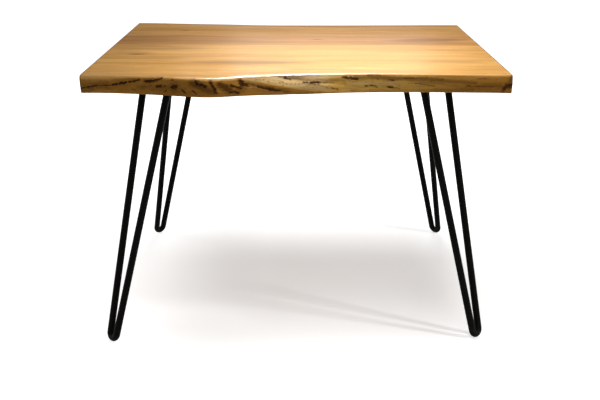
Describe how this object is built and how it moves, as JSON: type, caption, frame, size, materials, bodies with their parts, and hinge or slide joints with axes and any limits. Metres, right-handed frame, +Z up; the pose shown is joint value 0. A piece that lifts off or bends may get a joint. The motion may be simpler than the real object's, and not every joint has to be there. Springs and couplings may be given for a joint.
{
  "type": "live-edge hairpin leg table",
  "caption": "Low table with a live-edge top of edge-glued hickory boards on splayed hairpin legs bent from round steel rod.",
  "frame": {"origin": "on the floor, under the middle of the slab's outline", "axes": "+X along the boards to the right as seen from the front, +Y to the back, +Z up; the live edge with the large bulge faces -Y"},
  "size_m": [0.635, 0.6077, 0.4338],
  "materials": {
    "front_board_wood": "satin",
    "middle_front_board_wood": "satin",
    "middle_back_board_wood": "satin",
    "back_board_wood": "satin",
    "biscuit_beech": "pressed, unfinished",
    "rod_steel": "satin black powder coat",
    "plate_steel": "satin black powder coat",
    "weld_steel": "satin black powder coat over a weld bead",
    "screw_steel": "black oxide"
  },
  "bodies": {
    "root": {"front_board": "front_board_wood", "middle_front_board": "middle_front_board_wood", "middle_back_board": "middle_back_board_wood", "back_board": "back_board_wood", "front_seam_biscuit_left": "biscuit_beech", "front_seam_biscuit_centre": "biscuit_beech", "front_seam_biscuit_right": "biscuit_beech", "middle_seam_biscuit_left": "biscuit_beech", "middle_seam_biscuit_centre": "biscuit_beech", "middle_seam_biscuit_right": "biscuit_beech", "back_seam_biscuit_left": "biscuit_beech", "back_seam_biscuit_centre": "biscuit_beech", "back_seam_biscuit_right": "biscuit_beech", "front_left_leg_plate": "plate_steel", "front_left_leg_rod": "rod_steel", "front_right_leg_plate": "plate_steel", "front_right_leg_rod": "rod_steel", "back_left_leg_plate": "plate_steel", "back_left_leg_rod": "rod_steel", "back_right_leg_plate": "plate_steel", "back_right_leg_rod": "rod_steel", "front_left_outer_weld": "weld_steel", "front_left_inner_weld": "weld_steel", "front_right_outer_weld": "weld_steel", "front_right_inner_weld": "weld_steel", "back_left_outer_weld": "weld_steel", "back_left_inner_weld": "weld_steel", "back_right_outer_weld": "weld_steel", "back_right_inner_weld": "weld_steel", "front_left_leg_screw_front_left": "screw_steel", "front_left_leg_screw_front_right": "screw_steel", "front_left_leg_screw_back_left": "screw_steel", "front_left_leg_screw_back_right": "screw_steel", "front_right_leg_screw_front_left": "screw_steel", "front_right_leg_screw_front_right": "screw_steel", "front_right_leg_screw_back_left": "screw_steel", "front_right_leg_screw_back_right": "screw_steel", "back_left_leg_screw_front_left": "screw_steel", "back_left_leg_screw_front_right": "screw_steel", "back_left_leg_screw_back_left": "screw_steel", "back_left_leg_screw_back_right": "screw_steel", "back_right_leg_screw_front_left": "screw_steel", "back_right_leg_screw_front_right": "screw_steel", "back_right_leg_screw_back_left": "screw_steel", "back_right_leg_screw_back_right": "screw_steel"}
  },
  "joints": []
}
